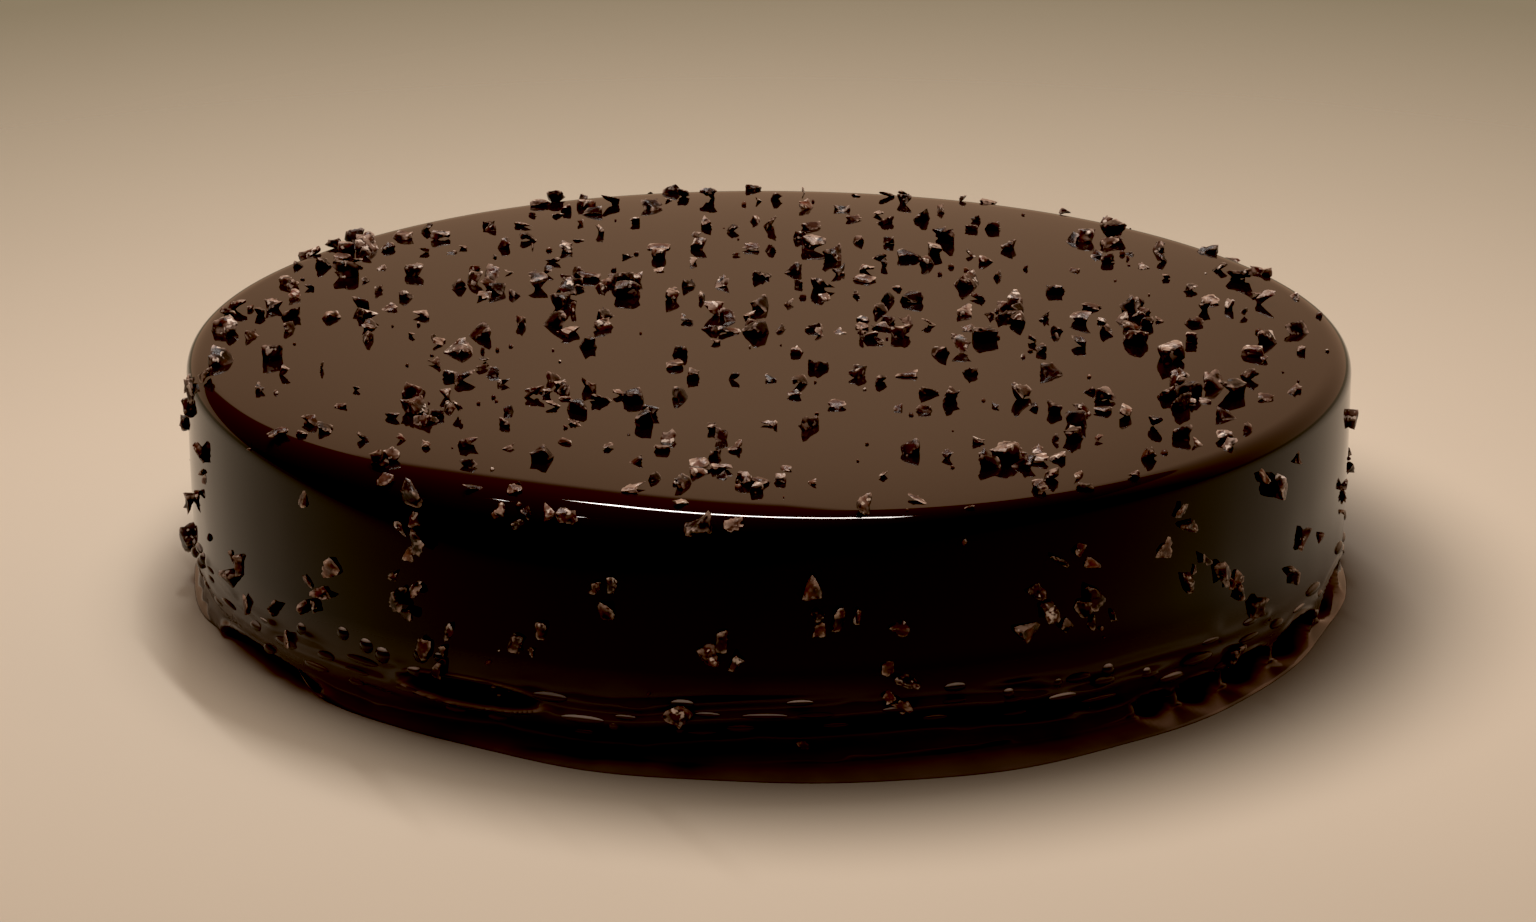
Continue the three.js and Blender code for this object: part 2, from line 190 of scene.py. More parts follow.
GLAZE_DARK = (0.003, 0.0022, 0.0017)
GLAZE_TOP = (0.0132, 0.005, 0.003)  # over the top and its edge the glaze is thinner and redder
TOP_HEIGHTS, TOP_SLOPES = (0.030, 0.034), (0.05, 0.5)
LOW_WALL_PAINTED_LIGHT = (0.06, 0.046, 0.038)  # painted light: the lowest part of the wall is lighter and a little browner, standing in for reflected floor
LOW_WALL_LIGHT_HEIGHTS = (0.020, 0.008)
GLAZE_FOOT = (0.08, 0.058, 0.048)  # the thin rim of the foot is browner still, in patches
FOOT_HEIGHTS, FOOT_PATCHES = (0.0035, 0.0005), (90, 0.35, 0.65)
HOLLOW_PAINTED_SHADE = (0.03, 0.009, 0.007)  # painted shade: dark and red in the hollows
RIM_PAINTED_HIGHLIGHT, RIM_HIGHLIGHT_SLOPES = (0.2, 0.14, 0.11), (0.1, 0.6)  # painted highlight: pale on the rims of the hollows where they look up
CREST_PAINTED_HIGHLIGHT, CREST_HIGHLIGHT_SLOPES = (0.62, 0.56, 0.52), (0.55, 0.85)  # painted highlight along the crests of the rolls
GLAZE_ROUGHNESS, ROLL_ROUGHNESS, GLAZE_IOR = 0.03, 0.13, 1.295

# For each kind: the dark body, its redder patches, the faces that look up, paler from dust and painted top
# light, and the ridges, paler from wear and a painted highlight.
NIB_COLOURS = {
    "chunk": ((0.01, 0.004, 0.003), (0.11, 0.026, 0.013), (0.42, 0.31, 0.25), (0.56, 0.42, 0.35)),
    "shard": ((0.014, 0.005, 0.003), (0.16, 0.038, 0.018), (0.44, 0.32, 0.255), (0.6, 0.46, 0.38)),
    "flake": ((0.06, 0.024, 0.017), (0.22, 0.1, 0.065), (0.46, 0.33, 0.26), (0.68, 0.52, 0.43)),
}
# Patches: the scale of a noise, and between which of its values they begin and are whole.
RED_PATCHES = (420, 0.42, 0.62)
# Faces that look up are paler: dust, and painted light from above.
DUST_AND_TOP_LIGHT_PATCHES, DUST_AND_TOP_LIGHT_SLOPES, DUST_AND_TOP_LIGHT_TONES = (560, 0.4, 0.55), (0.35, 0.85), (0.5, 0.8)
# Ridges are paler: wear, and a painted highlight.
WEAR_AND_HIGHLIGHT_PATCHES = (900, 0.4, 0.6)
# Painted highlights: pale spots on the faces that do not look down.
NIB_HIGHLIGHT_COLOUR = (0.88, 0.78, 0.7)
NIB_HIGHLIGHT_PATCHES, NIB_HIGHLIGHT_SLOPES, NIB_HIGHLIGHT_TONES = (640, 0.6, 0.65), (-0.3, 0.3), (0.25, 0.5)
NIB_ROUGHNESS, NIB_IOR = 0.3, 1.36
GRAIN_SCALE, GRAIN_DETAIL, GRAIN_STRENGTH, GRAIN_DEPTH = 2200, 3.0, 0.5, 0.0002

# ---- Stage, light and camera, in metres ----

FLOOR_REACH, FLOOR_FADES, FLOOR_SIDES = 0.55, 0.13, 96
FLOOR_COLOUR, FLOOR_ROUGHNESS = (0.80, 0.73, 0.61), 0.75
FLOOR_MOTTLED, FLOOR_NOISE = 0.95, 9
FLOOR_SHADE = 0.2  # how much of its colour the floor keeps in the painted shadow beside the cake
FLOOR_SHADE_REACH = (0.102, 0.158)  # between which distances that fades
FLOOR_SHADE_MIDDLE = (0.012, -0.012, 0)  # the shade lies more to the right and the front

TUBE_PLACE, TUBE_SIZE, TUBE_POWER = (0.01, 0.61, 1.16), (0.8, 0.05), 6.5
TUBE_COLOUR, TUBE_TURNED = (1.0, 0.93, 0.88), -63 * DEGREE
SOFTBOX_PLACE, SOFTBOX_SIZE, SOFTBOX_POWER = (-0.1, -0.05, 1.2), (0.8, 0.8), 6.8
SOFTBOX_COLOUR = (1.0, 0.90, 0.78)
GLINT_PLACES = {
    "glint_left": (-0.40, 0.47, 1.15),
    "glint_middle": (-0.40, 0.07, 1.15),
    "glint_right": (-0.13, 0.05, 1.15),
}
GLINT_SIZE, GLINT_POWER, GLINT_COLOUR = (0.012, 0.02), 0.05, (1, 0.95, 0.9)

ROOM_WALL = (0.71, 0.433, 0.27)
ROOM_FRONT = (0.13, 0.085, 0.06)
ROOM_CEILING = (0.13, 0.055, 0.036)
ROOM_GROUND = (0.27, 0.212, 0.137)
# The limits below are parts of a direction of length 1, seen from the cake.
WALL_BEHIND = (-0.35, 0.45)  # from front to back, between which the wall grows lighter
WALL_DIMMED, WALL_DIMS = 0.84, (0.03, 0.12)  # away from the middle it falls to this share
# The lit wall ends at a sloping line, higher to the right: this much sideways and behind, per unit up.
WALL_END = (-0.68, -0.455, 1.0)
WALL_END_BEND = -0.47  # the line bends in the middle, where two walls meet: this much for either side
WALL_END_BLUR = 0.006
GROUND_BELOW = (0.0, -0.02)

# The camera: straight in front of the cake, as far away as the perspective of the picture asks.
CAMERA_DISTANCE = 1.0539
CAMERA_ELEVATION = 19.64 * DEGREE
CAMERA_AIM_ABOVE = 1.143 * DEGREE  # how far above the cake's origin it looks
CAMERA_LENS, SENSOR, CLIP_END = 117.2, 36.0, 20
BLACK_LEVEL = 0.0095

# ---- Surface functions, the same as the solid's ----


def waves(angle, table):
    return sum(height * np.sin(per_turn * angle + phase) for per_turn, height, phase in table)


def bell(offset):
    return np.exp(-offset * offset)


def turn_between(start, end):
    return np.arctan2(np.sin(end - start), np.cos(end - start))


def bell_at(angle, degrees, half_turn):
    return bell(turn_between(degrees * DEGREE, angle) / (half_turn * DEGREE))


def lip_at(angle):
    return LIP_HEIGHT + waves(angle, LIP_WAVES)


def gathered(angle):
    share = FAINT
    for degrees, half_turn in GATHERED:
        share = share + (1 - FAINT) * bell_at(angle, degrees, half_turn)
    return share


def lip_relief(angle, z):
    above = z - lip_at(angle)
    share = 0.5 + 0.5 * np.sin(RIPPLES_PER_TURN * angle + RIPPLE_PHASE)
    lip = LIP_STAND * bell(above / LIP_HALF)
    ripple = RIPPLE_STAND * share * bell((above - RIPPLE_ABOVE) / RIPPLE_HALF)
    undercut = UNDERCUT_DEPTH * bell((above + UNDERCUT_BELOW) / UNDERCUT_HALF)
    return (lip + ripple - undercut) * gathered(angle)


def foot_spread(angle):
    spread = FOOT_SPREAD + waves(angle, FOOT_WAVES)
    for degrees, half_turn, run in POOLS:
        spread = spread + run * bell_at(angle, degrees, half_turn)
    return spread


def foot_radius(angle, z, wall):
    rise = np.clip((z - FOOT_BLUNT) / (FOOT_HEIGHT - FOOT_BLUNT), 0, 1)
    return wall + (RADIUS - DRAWN_IN + foot_spread(angle) - wall) * (1 - rise**FOOT_SLOPE)


def hollow_insides(angle, z):
    """For each hollow, how far inside it a place is: 1 in its middle, 0 on its rim and less outside."""
    for degrees, height, half_turn, half_height, depth in HOLLOWS:
        along = turn_between(degrees * DEGREE, angle) / (half_turn * DEGREE)
        across = (z - height) / half_height
        yield 1 - along**2 - across**2, depth


def hollow_depth(angle, z):
    deepest = 0.0
    for inside, depth in hollow_insides(angle, z):
        deepest = np.maximum(deepest, depth * np.clip(inside, 0, None) ** HOLLOW_WALLS)
    return deepest


def wall_radius(angle, z, relief=0.0):
    below = np.clip((WIDEST_AT - z) / WIDEST_AT, 0, None)
    plain = RADIUS - DRAWN_IN * below**2 + waves(angle, WALL_WAVES)
    wall = plain + lip_relief(angle, z) - hollow_depth(angle, z) + relief
    return foot_radius(angle, z, wall)


def edge_size(angle):
    size = EDGE_SIZE
    for degrees, half_turn, more in SLUMPS:
        size = size + more * bell_at(angle, degrees, half_turn)
    return size


def crown(share):
    return CROWN_HEIGHT * (1 - share**CROWN_FALL)


def edge_point(angle, turn):
    size = edge_size(angle)
    flat = wall_radius(angle, HEIGHT - size) - size
    r = flat + size * np.clip(np.cos(turn), 0, None) ** EDGE_SOFTNESS
    up = np.clip(np.sin(turn), 0, None) ** EDGE_SOFTNESS
    return r, HEIGHT - size + (size + crown(r / flat)) * up


# ---- The glaze ----


def polar_points(r, angle, z):
    return np.stack([r * np.cos(angle), r * np.sin(angle), z], axis=-1)


def dent_spots(draw):
    for _ in range(DENTS):
        middle, height = draw.uniform(0, 2 * math.pi), draw.uniform(*DENT_HEIGHTS)
        half_turn, half = draw.uniform(*DENT_TURN), draw.uniform(*DENT_HALF)
        yield middle, half_turn, height, half, draw.uniform(*DENT_STAND)


DENT_SPOTS = np.array(list(dent_spots(np.random.default_rng(DENT_SEED))))


def dents(angle, z):
    middle, half_turn, height, half, stand = DENT_SPOTS.T[:, :, None]
    along = turn_between(middle, angle[None]) / half_turn
    return (stand * bell(along) * bell((z - height) / half)).sum(axis=0)


def drips(angle, z):
    change = np.sin(z / DRIP_REACH + waves(angle, WALL_WAVES) * DRIP_WANDERS)
    return (DRIP_EVEN + DRIP_VARIES * change) * waves(angle, DRIP_WAVES)


def rim_share(angle, z):
    """1 on the rim of a hollow, 0 away from it and -1 well inside it."""
    rim, deepest = np.zeros_like(angle), np.zeros_like(angle)
    for inside, _ in hollow_insides(angle, z):
        rim = np.maximum(rim, bell(inside / RIM_WIDTH))
        deepest = np.maximum(deepest, np.clip(inside / RIM_FADES, 0, 1))
    return rim - deepest


def low_row(angle, z):
    """One ring of the foot or the lip, with all of the relief."""
    fade = np.clip((z - FOOT_BLUNT) / FOOT_HEIGHT, 0, 1)
    rims = rim_share(angle, z)
    fine = dents(angle, z) + RIM_STAND * np.clip(rims, 0, 1) + drips(angle, z)
    return wall_radius(angle, z, fine * fade), np.full_like(angle, z), rims


def glaze_rows(angle):
    """The rings of the glaze from the underside over the wall and the edge to the top: r, z and rims."""
    none = np.zeros_like(angle)
    for z in np.linspace(0, FOOT_TOP, FOOT_ROWS):
        yield low_row(angle, z)
    for z in np.linspace(FOOT_TOP, LIP_TOP, LIP_ROWS)[1:]:
        yield low_row(angle, z)
    top_of_wall = HEIGHT - edge_size(angle)
    for part in np.linspace(0, 1, WALL_ROWS)[1:]:
        z = LIP_TOP + (top_of_wall - LIP_TOP) * part
        fine = dents(angle, z) + drips(angle, z) * (1 - part**2)
        yield wall_radius(angle, z, fine), z, none
    for step in range(1, EDGE_STEPS + 1):
        r, z = edge_point(angle, step / EDGE_STEPS * math.pi / 2)
        yield r, z, none
    for share in np.linspace(1, 0, TOP_RINGS + 1)[1:-1] ** TOP_CROWDING:
        yield r * share, np.full_like(angle, HEIGHT + crown(share)), none


def glaze_mesh():
    """The vertices and faces of the glaze, and how far each vertex is on a rim, as rim_share says."""
    angle = np.arange(TURN_STEPS) / TURN_STEPS * 2 * math.pi
    rows = list(glaze_rows(angle))
    points = [polar_points(r, angle, z) for r, z, _ in rows]
    vertices = np.concatenate(points + [[[0, 0, 0]], [[0, 0, HEIGHT + CROWN_HEIGHT]]])
    rims = np.concatenate([share for _, _, share in rows] + [[0, 0]])
    under, over = len(vertices) - 2, len(vertices) - 1
    last = (len(rows) - 1) * TURN_STEPS
    faces = []
    for low in range(0, last, TURN_STEPS):
        high = low + TURN_STEPS
        for step in range(TURN_STEPS):
            after = (step + 1) % TURN_STEPS
            faces.append((low + step, low + after, high + after, high + step))
    for step in range(TURN_STEPS):
        after = (step + 1) % TURN_STEPS
        faces.append((under, after, step))
        faces.append((last + step, last + after, over))
    return vertices, faces, rims


def roll_spots():
    """Each roll and lump: middle, half turn, height, size, how far it is sunk and how strong its painted
    highlight is.
    """
    draw = np.random.default_rng(ROLL_SEED)
    for count, row in ROLL_ROWS:
        for index in range(count):
            middle = (index + draw.uniform(-ROLL_SHIFT, ROLL_SHIFT)) / count * 2 * math.pi
            height = lip_at(middle) + row + draw.uniform(-ROLL_SCATTER, ROLL_SCATTER)
            half_turn, size = draw.uniform(*ROLL_TURN), draw.uniform(*ROLL_SIZES)
            # How strong the painted highlight on this roll's crest is.
            painted_glint = max(0, draw.uniform(*ROLL_PAINTED_HIGHLIGHT))
            if hollow_depth(middle, height) == 0 and height > FOOT_HEIGHT + size:
                yield middle, half_turn, height, size, ROLL_SUNK, painted_glint
    for degrees, height, size in LUMPS_UNDER:
        yield degrees * DEGREE, LUMP_WIDTH * size / RADIUS, height, size, LUMP_SUNK, LUMP_PAINTED_HIGHLIGHT


def roll_faces(first):
    faces = []
    for low in range(first, first + (ROLL_STEPS - 1) * ROLL_SIDES, ROLL_SIDES):
        high = low + ROLL_SIDES
        for side in range(ROLL_SIDES):
            after = (side + 1) % ROLL_SIDES
            faces.append((low + side, high + side, high + after, low + after))
    faces.append(tuple(range(first, first + ROLL_SIDES)))
    faces.append(tuple(range(high + ROLL_SIDES - 1, high - 1, -1)))
    return faces


def roll_mesh():
    """Rolls that follow the wall and taper to nothing at both ends, and how strong their painted highlights
    are.
    """
    share = np.cos(np.linspace(math.pi, 0, ROLL_STEPS + 2)[1:-1])[:, None]
    around = (np.arange(ROLL_SIDES) / ROLL_SIDES * 2 * math.pi)[None]
    vertices, faces, painted_glints = [], [], []
    for middle, half_turn, height, size, sunk, painted_glint in roll_spots():
        angle = middle + half_turn * share
        thick = size * np.sqrt(1 - share**2)
        r = wall_radius(angle, height) - sunk * size + thick * np.cos(around)
        faces.extend(roll_faces(len(vertices) * ROLL_STEPS * ROLL_SIDES))
        vertices.append(polar_points(r, angle, height + thick * np.sin(around)).reshape(-1, 3))
        painted_glints.append(np.full(ROLL_STEPS * ROLL_SIDES, painted_glint))
    return np.concatenate(vertices), faces, np.concatenate(painted_glints)


# ---- Building pieces ----


def piece_from(name, vertices, faces, material):
    mesh = bpy.data.meshes.new(name)
    mesh.from_pydata((np.asarray(vertices) * MM).tolist(), [], faces)
    mesh.update()
    mesh.polygons.foreach_set("use_smooth", [True] * len(mesh.polygons))
    mesh.materials.append(material)
    piece = bpy.data.objects.new(name, mesh)
    bpy.context.scene.collection.objects.link(piece)
    return piece


def give_attribute(piece, name, values):
    layer = piece.data.attributes.new(name, "FLOAT", "POINT")
    layer.data.foreach_set("value", np.asarray(values, np.float32))


def scattered_piece(name, shapes, faces, material):
    """One piece of many shapes with the same faces. Each shape is its points, their ridges and its tone."""
    points, ridges, tones = zip(*shapes)
    size = len(points[0])
    all_faces = np.concatenate([faces + index * size for index in range(len(points))])
    piece = piece_from(name, np.concatenate(points), all_faces.tolist(), material)
    give_attribute(piece, "ridge", np.concatenate(ridges))
    give_attribute(piece, "tone", np.repeat(tones, size))
    return piece


# ---- Nib layout, the same as the solid's ----


def draws_from(seed):
    state = seed
    while True:
        state = state * DRAW_FACTOR % DRAW_RANGE
        yield state / DRAW_RANGE


def hump(draw):
    """Between -1.5 and 1.5, and most often near 0."""
    return next(draw) + next(draw) + next(draw) - 1.5


def nib_kind(draw):
    left = next(draw)
    for kind in NIB_KINDS:
        left -= kind[1]
        if left < 0:
            return kind
    return NIB_KINDS[0]


def top_place(draw, clumped, index):
    if clumped:
        x, y, spread = TOP_CLUMPS[index % len(TOP_CLUMPS)]
        return x + spread * hump(draw), y + spread * hump(draw)
    reach = TOP["reach"] * math.sqrt(next(draw))
    angle = 2 * math.pi * next(draw)
    return reach * math.cos(angle), reach * math.sin(angle)


def wall_place(draw, clumped, index):
    if clumped:
        degrees, z, spread = WALL_CLUMPS[index % len(WALL_CLUMPS)]
        return RADIUS * degrees * DEGREE + spread * hump(draw), z + spread * hump(draw)
    along = RADIUS * 2 * math.pi * (next(draw) - 0.5)
    return along, WALL["low"] + (WALL["high"] - WALL["low"]) * next(draw)


def on_top(place):
    return math.hypot(*place) < TOP["reach"]


def on_wall(place):
    in_hollow = hollow_depth(place[0] / RADIUS, place[1]) > 0
    return WALL["low"] < place[1] < WALL["high"] and not in_hollow


def is_free(place, length, taken, share):
    for other in taken:
        gap = math.hypot(place[0] - other["place"][0], place[1] - other["place"][1])
        if gap <= share * 0.5 * (length + other["length"]):
            return False
    return True


def lay_nibs(zone, place_for, is_on):
    draw = draws_from(zone["seed"])
    nibs = []
    for index in range(zone["count"]):
        left = 1 - index / (zone["count"] - 1)
        length = NIB_SMALLEST + (NIB_LARGEST - NIB_SMALLEST) * left**NIB_FALL_OFF
        name, _, width, depth, tips = nib_kind(draw)
        clumped = next(draw) < zone["clumped"]
        share = NEAREST_CLUMPED if clumped else NEAREST_ALONE
        yaw = 2 * math.pi * next(draw)
        tip = tips * (next(draw) - 0.5)
        seed = 1 + int(next(draw) * (DRAW_RANGE - 2))
        for _ in range(TRIES):
            place = place_for(draw, clumped, index)
            if is_on(place) and is_free(place, length, nibs, share):
                if zone is WALL:
                    yaw = place[0] / RADIUS + WALL_LEAN * (yaw - math.pi)
                nibs.append({
                    "kind": name, "place": place, "length": length, "width": width,
                    "depth": depth, "yaw": yaw, "tip": tip, "seed": seed,
                })
                break
    return nibs


def nib_corners(nib):
    draw = draws_from(nib["seed"])
    halves = (0.5, 0.5 * nib["width"], 0.5 * nib["depth"])
    corners = []
    for _ in range(NIB_CORNERS):
        sides = [2 * next(draw) - 1 for _ in halves]
        corners.append([
            nib["length"] * half * math.copysign(abs(side) ** NIB_BOXINESS, side)
            for half, side in zip(halves, sides)
        ])
    return np.array(corners)


def seat_from(angle, r, z, turn):
    """A point of the surface, and the way out of it."""
    side = math.cos(turn)
    point = Vector((r * math.cos(angle), r * math.sin(angle), z))
    return point, Vector((side * math.cos(angle), side * math.sin(angle), math.sin(turn)))


def top_seat(place):
    angle, reach = math.atan2(place[1], place[0]), math.hypot(*place)
    flat = float(edge_point(angle, math.pi / 2)[0])
    if reach <= flat:
        slope = CROWN_HEIGHT * CROWN_FALL * (reach / flat) ** (CROWN_FALL - 1) / flat
        return seat_from(angle, reach, HEIGHT + crown(reach / flat), math.pi / 2 - math.atan(slope))
    turn = math.acos(min(1, (reach - flat) / edge_size(angle)) ** (1 / EDGE_SOFTNESS))
    r, z = edge_point(angle, turn)
    return seat_from(angle, float(r), float(z), turn)


def wall_seat(place):
    angle, z = place[0] / RADIUS, place[1]
    size = float(edge_size(angle))
    rise = z - (HEIGHT - size)
    if rise <= 0:
        return seat_from(angle, float(wall_radius(angle, z)), z, 0)
    turn = math.asin(min(1, rise / size) ** (1 / EDGE_SOFTNESS))
    r, z = edge_point(angle, turn)
    return seat_from(angle, float(r), float(z), turn)


# ---- Nib shapes ----


def sphere_grid(level):
    """Directions spread evenly, the faces between them, and the matrix that averages neighbours."""
    grid = bmesh.new()
    bmesh.ops.create_icosphere(grid, subdivisions=level, radius=1)
    directions = np.array([vertex.co.normalized() for vertex in grid.verts])
    faces = np.array([[vertex.index for vertex in face.verts] for face in grid.faces])
    near = np.zeros((len(directions), len(directions)))
    for edge in grid.edges:
        a, b = (vertex.index for vertex in edge.verts)
        near[a, b] = near[b, a] = 1
    grid.free()
    return directions, faces, near / near.sum(axis=1, keepdims=True)


def hull_planes(points):
    planes = []
    for a, b, c in itertools.combinations(points, 3):
        normal = np.cross(b - a, c - a)
        length = np.linalg.norm(normal)
        if length < TINY:
            continue
        normal = normal / length
        side = (points - a) @ normal
        if side.max() < TINY:
            planes.append((*normal, a @ normal))
        elif side.min() > -TINY:
            planes.append((*-normal, -(a @ normal)))
    return np.array(planes)


def hull_reach(points, directions):
    """How far the hull of the points reaches from the origin in each direction, 0 where it is missed."""
    planes = hull_planes(points)
    if not len(planes):
        return np.zeros(len(directions))
    slope = directions @ planes[:, :3].T
    with np.errstate(divide="ignore", invalid="ignore"):
        crossing = planes[:, 3] / slope
    far = np.where(slope > PARALLEL, crossing, np.inf).min(axis=1)
    near = np.where(slope < -PARALLEL, crossing, -np.inf).max(axis=1)
    return np.where((near <= far) & (far > 0) & np.isfinite(far), far, 0)


def bitten(reach, directions, draw):
    """The reach with a few bites out of it and a rough skin."""
    for _ in range(draw.integers(*BITES)):
        bite = draw.normal(size=3)
        bite /= np.linalg.norm(bite)
        depth = draw.uniform(*BITE_DEPTH)
        inside = np.clip((directions @ bite - BITE_EDGE) / (1 - BITE_EDGE), 0, 1)
        reach = reach * (1 - depth * inside)
    return reach * (1 - SKIN_DEPTH * draw.random(len(reach)))


def nib_surface(nib, grid):
    """A broken piece, or two shards that share corners. Its points and its ridges."""
    directions, _, near = grid
    draw = np.random.default_rng(nib["seed"])
    corners = nib_corners(nib)
    centre = corners.mean(axis=0)
    around = corners - centre
    whole = hull_reach(around, directions)
    order = np.argsort(around[:, 0])
    forked = draw.random() < FORKED
    reach = (draw.uniform(*WAIST_REACH) if forked else PLAIN_REACH) * whole
    for part in (order[:FORK_CORNERS], order[-FORK_CORNERS:]) if forked else ():
        reach = np.maximum(reach, hull_reach(around[part], directions))
    reach = bitten(reach, directions, draw)
    for corner in around:
        distance = np.linalg.norm(corner)
        nearest = np.argmax(directions @ corner / distance)
        reach[nearest] = max(reach[nearest], CORNER_REACH * min(distance, whole[nearest]))
    reach = (1 - NIB_ROUNDING) * reach + NIB_ROUNDING * (near @ reach)
    ridge = np.clip((reach - near @ reach) / reach.mean() * RIDGE_GAIN, 0, 1)
    return centre + directions * reach[:, None], ridge


def turned(points, nib):
    c, s = math.cos(nib["tip"]), math.sin(nib["tip"])
    tip = np.array([[1, 0, 0], [0, c, -s], [0, s, c]])
    c, s = math.cos(nib["yaw"]), math.sin(nib["yaw"])
    yaw = np.array([[c, -s, 0], [s, c, 0], [0, 0, 1]])
    return points @ (yaw @ tip).T


def nib_shape(nib, seat, sunk, grid):
    """A nib on its seat, sunk by a share of its height: its points, their ridges and its tone."""
    point, out = seat
    corners = turned(nib_corners(nib), nib)
    low, high = corners[:, 2].min(), corners[:, 2].max()
    surface, ridge = nib_surface(nib, grid)
    spin = np.array(Vector((0, 0, 1)).rotation_difference(out).to_matrix())
    at = np.array(point) + np.array(out) * (-low - sunk * (high - low))
    return turned(surface, nib) @ spin.T + at, ridge, nib["seed"] / DRAW_RANGE


def nib_pieces(material_for):
    grid = sphere_grid(NIB_DETAIL)
    laid = [(nib, top_seat(nib["place"]), SUNK_TOP) for nib in lay_nibs(TOP, top_place, on_top)]
    laid += [(nib, wall_seat(nib["place"]), SUNK_WALL) for nib in lay_nibs(WALL, wall_place, on_wall)]
    for kind, *_ in NIB_KINDS:
        shapes = [nib_shape(*how, grid) for how in laid if how[0]["kind"] == kind]
        piece = scattered_piece("nib_" + kind + "s", shapes, grid[1], material_for(kind))
        piece.data.set_sharp_from_angle(angle=NIB_SHARP)
        yield piece


def crumb_seat(draw, index):
    if index < CRUMBS["top"]:
        reach, angle = TOP["reach"] * math.sqrt(draw.random()), 2 * math.pi * draw.random()
        return top_seat((reach * math.cos(angle), reach * math.sin(angle)))
    along, z = RADIUS * 2 * math.pi * draw.random(), draw.uniform(WALL["low"], WALL["high"])
    return wall_seat((along, z))


def crumb_shape(draw, seat, directions):
    """A small rough crumb on its seat: its points, their ridges and its tone."""
    point, out = seat
    size = draw.uniform(*CRUMB_LENGTHS) * draw.uniform(*CRUMB_SIDES, 3) / 2
    reach = 1 - CRUMB_SKIN * draw.random(len(directions))
    spin = np.linalg.qr(draw.normal(size=(3, 3)))[0]
    shape = (directions * reach[:, None] * size) @ spin.T
    lift = -CRUMB_STANDS * (shape @ np.array(out)).min()
    return shape + np.array(point) + np.array(out) * lift, np.zeros(len(shape)), draw.random()


def crumb_piece(material):
    directions, faces, _ = sphere_grid(CRUMB_DETAIL)
    draw = np.random.default_rng(CRUMBS["seed"])
    count = CRUMBS["top"] + CRUMBS["wall"]
    shapes = [crumb_shape(draw, crumb_seat(draw, index), directions) for index in range(count)]
    return scattered_piece("nib_crumbs", shapes, faces, material)


# ---- Materials ----


def dimmer(colour, share):
    return tuple(share * part for part in colour)


class Graph:
    """The nodes of one material or of the world, with the few kinds that are used here."""

    def __init__(self, tree):
        self.nodes, self.links = tree.nodes, tree.links

    def put(self, value, socket):
        """A socket gets what comes out of another node, a colour or a number."""
        if isinstance(value, bpy.types.NodeSocket):
            self.links.new(value, socket)
        elif socket.type == "RGBA":
            socket.default_value = (*value, 1)
        else:
            socket.default_value = value

    def add(self, kind, *values, **settings):
        """A new node with these settings and these values in its first sockets."""
        made = self.nodes.new(kind)
        for name, setting in settings.items():
            setattr(made, name, setting)
        for value, socket in zip(values, made.inputs):
            self.put(value, socket)
        return made

    def place(self, kind="Object"):
        return self.add("ShaderNodeTexCoord").outputs[kind]

    def parts(self, vector):
        return self.add("ShaderNodeSeparateXYZ", vector).outputs

    def facing_up(self):
        return self.parts(self.add("ShaderNodeNewGeometry").outputs["Normal"])["Z"]

    def attribute(self, name):
        return self.add("ShaderNodeAttribute", attribute_name=name).outputs["Fac"]

    def math(self, operation, *values):
        return self.add("ShaderNodeMath", *values, operation=operation).outputs["Value"]

    def vector_math(self, operation, *vectors):
        return self.add("ShaderNodeVectorMath", *vectors, operation=operation).outputs["Value"]

    def layer(self, under, over, share, *more_shares):
        """The first colour where the product of the shares is 0, and the second where it is 1."""
        for another in more_shares:
            share = self.math("MULTIPLY", share, another)
        return self.add("ShaderNodeMixRGB", share, under, over).outputs["Color"]

    def ramp(self, value, low, high, shape="LINEAR"):
        """0 where the value is low and 1 where it is high."""
        return self.add("ShaderNodeMapRange", value, low, high, interpolation_type=shape).outputs["Result"]

    def noise(self, scale, detail=2.0):
        texture = self.add("ShaderNodeTexNoise", self.place())
        texture.inputs["Scale"].default_value = scale
        texture.inputs["Detail"].default_value = detail
        return texture.outputs["Fac"]

    def patches(self, scale, low, high):
        return self.ramp(self.noise(scale), low, high)


def new_material(name):
    material = bpy.data.materials.new(name)
    material.use_nodes = True
    graph = Graph(material.node_tree)
    return material, graph, graph.nodes["Principled BSDF"]


def glaze_material(name, roughness, painted_highlight, highlight_slopes):
    """Dark mirror glaze, with painted light low on the wall, painted shade where its attribute is below 0,
    and a painted highlight where it is above 0 and its faces lie flat enough.
    """
    material, graph, shader = new_material(name)
    height, up, rim = graph.parts(graph.place())["Z"], graph.facing_up(), graph.attribute("rim")
    high, level = graph.ramp(height, *TOP_HEIGHTS), graph.ramp(up, *TOP_SLOPES)
    colour = graph.layer(GLAZE_DARK, GLAZE_TOP, high, level)
    # Painted light: the lowest part of the wall is made lighter, standing in for reflected floor.
    colour = graph.layer(colour, LOW_WALL_PAINTED_LIGHT, graph.ramp(height, *LOW_WALL_LIGHT_HEIGHTS))
    lowest, patches = graph.ramp(height, *FOOT_HEIGHTS), graph.patches(*FOOT_PATCHES)
    colour = graph.layer(colour, GLAZE_FOOT, lowest, patches)
    # Painted shade inside the hollows, where the attribute is below 0.
    colour = graph.layer(colour, HOLLOW_PAINTED_SHADE, graph.ramp(rim, 0, -1))
    # Painted highlight on rims and crests, where the attribute is above 0 and the faces look up.
    colour = graph.layer(colour, painted_highlight, graph.ramp(rim, 0, 1), graph.ramp(up, *highlight_slopes))
    graph.put(colour, shader.inputs["Base Color"])
    shader.inputs["Roughness"].default_value = roughness
    shader.inputs["IOR"].default_value = GLAZE_IOR
    return material


